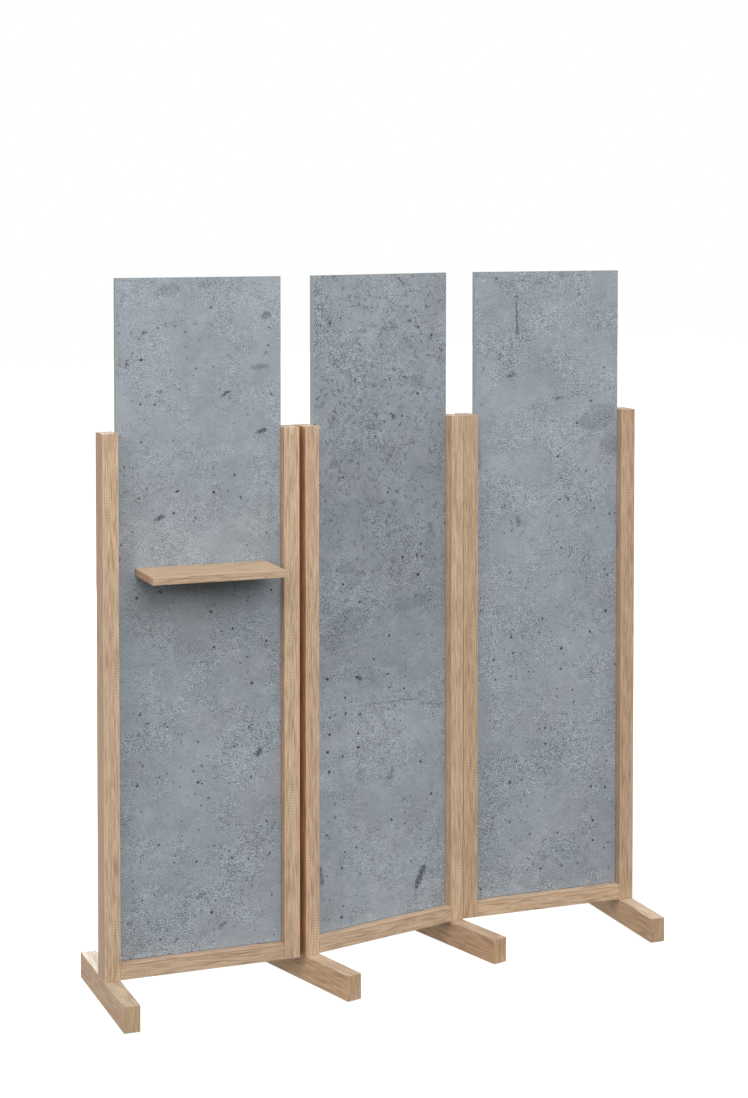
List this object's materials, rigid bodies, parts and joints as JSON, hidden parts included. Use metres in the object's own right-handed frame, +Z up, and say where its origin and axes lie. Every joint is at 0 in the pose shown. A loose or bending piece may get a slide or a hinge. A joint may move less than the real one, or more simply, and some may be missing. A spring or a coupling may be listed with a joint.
{
  "type": "folding partition wall",
  "caption": "Freestanding folding partition wall: hinged screens with pale oak frames on cross feet, grey concrete-look boards rising above the posts, and a display shelf on the left board.",
  "frame": {"origin": "on the floor, under the centre of the middle screen, which is also the centre of the wall's box", "axes": "+X along the middle screen towards the right screen, -Y is the front (the side the shelf is on), +Z up"},
  "size_m": [1.5994, 0.6696, 1.775],
  "materials": {
    "oak": "matt sanded pale oak decor with fine saw marks",
    "grey_board": "matt concrete-look decor board with cloudy blotches and small pores",
    "hidden_joinery": "plain beech",
    "hinge_metal": "satin bronze-brown lacquer",
    "steel_fastener": "bright zinc plating",
    "glide": "matt dark brown, felt faced"
  },
  "bodies": {
    "middle_screen": {"left_lower_hinge_fixed_leaf": "hinge_metal", "left_lower_hinge_pin": "hinge_metal", "left_upper_hinge_fixed_leaf": "hinge_metal", "left_upper_hinge_pin": "hinge_metal", "middle_screen_board": "grey_board", "middle_screen_left_foot": "oak", "middle_screen_left_foot_back_bolt": "steel_fastener", "middle_screen_left_foot_back_glide": "glide", "middle_screen_left_foot_front_bolt": "steel_fastener", "middle_screen_left_foot_front_glide": "glide", "middle_screen_left_post": "oak", "middle_screen_left_rail_dowel": "hidden_joinery", "middle_screen_left_spline": "hidden_joinery", "middle_screen_rail": "oak", "middle_screen_right_foot": "oak", "middle_screen_right_foot_back_bolt": "steel_fastener", "middle_screen_right_foot_back_glide": "glide", "middle_screen_right_foot_front_bolt": "steel_fastener", "middle_screen_right_foot_front_glide": "glide", "middle_screen_right_post": "oak", "middle_screen_right_rail_dowel": "hidden_joinery", "middle_screen_right_spline": "hidden_joinery", "right_lower_hinge_fixed_leaf": "hinge_metal", "right_lower_hinge_pin": "hinge_metal", "right_upper_hinge_fixed_leaf": "hinge_metal", "right_upper_hinge_pin": "hinge_metal"},
    "left_screen": {"left_lower_hinge_swing_leaf": "hinge_metal", "left_screen_board": "grey_board", "left_screen_left_foot": "oak", "left_screen_left_foot_back_bolt": "steel_fastener", "left_screen_left_foot_back_glide": "glide", "left_screen_left_foot_front_bolt": "steel_fastener", "left_screen_left_foot_front_glide": "glide", "left_screen_left_post": "oak", "left_screen_left_rail_dowel": "hidden_joinery", "left_screen_left_spline": "hidden_joinery", "left_screen_rail": "oak", "left_screen_right_post": "oak", "left_screen_right_rail_dowel": "hidden_joinery", "left_screen_right_spline": "hidden_joinery", "left_upper_hinge_swing_leaf": "hinge_metal", "shelf": "oak", "shelf_left_screw": "steel_fastener", "shelf_right_screw": "steel_fastener"},
    "right_screen": {"right_lower_hinge_swing_leaf": "hinge_metal", "right_screen_board": "grey_board", "right_screen_left_post": "oak", "right_screen_left_rail_dowel": "hidden_joinery", "right_screen_left_spline": "hidden_joinery", "right_screen_rail": "oak", "right_screen_right_foot": "oak", "right_screen_right_foot_back_bolt": "steel_fastener", "right_screen_right_foot_back_glide": "glide", "right_screen_right_foot_front_bolt": "steel_fastener", "right_screen_right_foot_front_glide": "glide", "right_screen_right_post": "oak", "right_screen_right_rail_dowel": "hidden_joinery", "right_screen_right_spline": "hidden_joinery", "right_upper_hinge_swing_leaf": "hinge_metal"}
  },
  "joints": [
    {"name": "left_fold", "type": "hinge", "parent": "middle_screen", "child": "left_screen", "pos_m": [-0.2515, 0.0325, 0], "axis": [0, 0, 1], "range_deg": [-122, 15]},
    {"name": "right_fold", "type": "hinge", "parent": "middle_screen", "child": "right_screen", "pos_m": [0.2515, -0.0325, 0], "axis": [0, 0, 1], "range_deg": [-122, 15]}
  ]
}
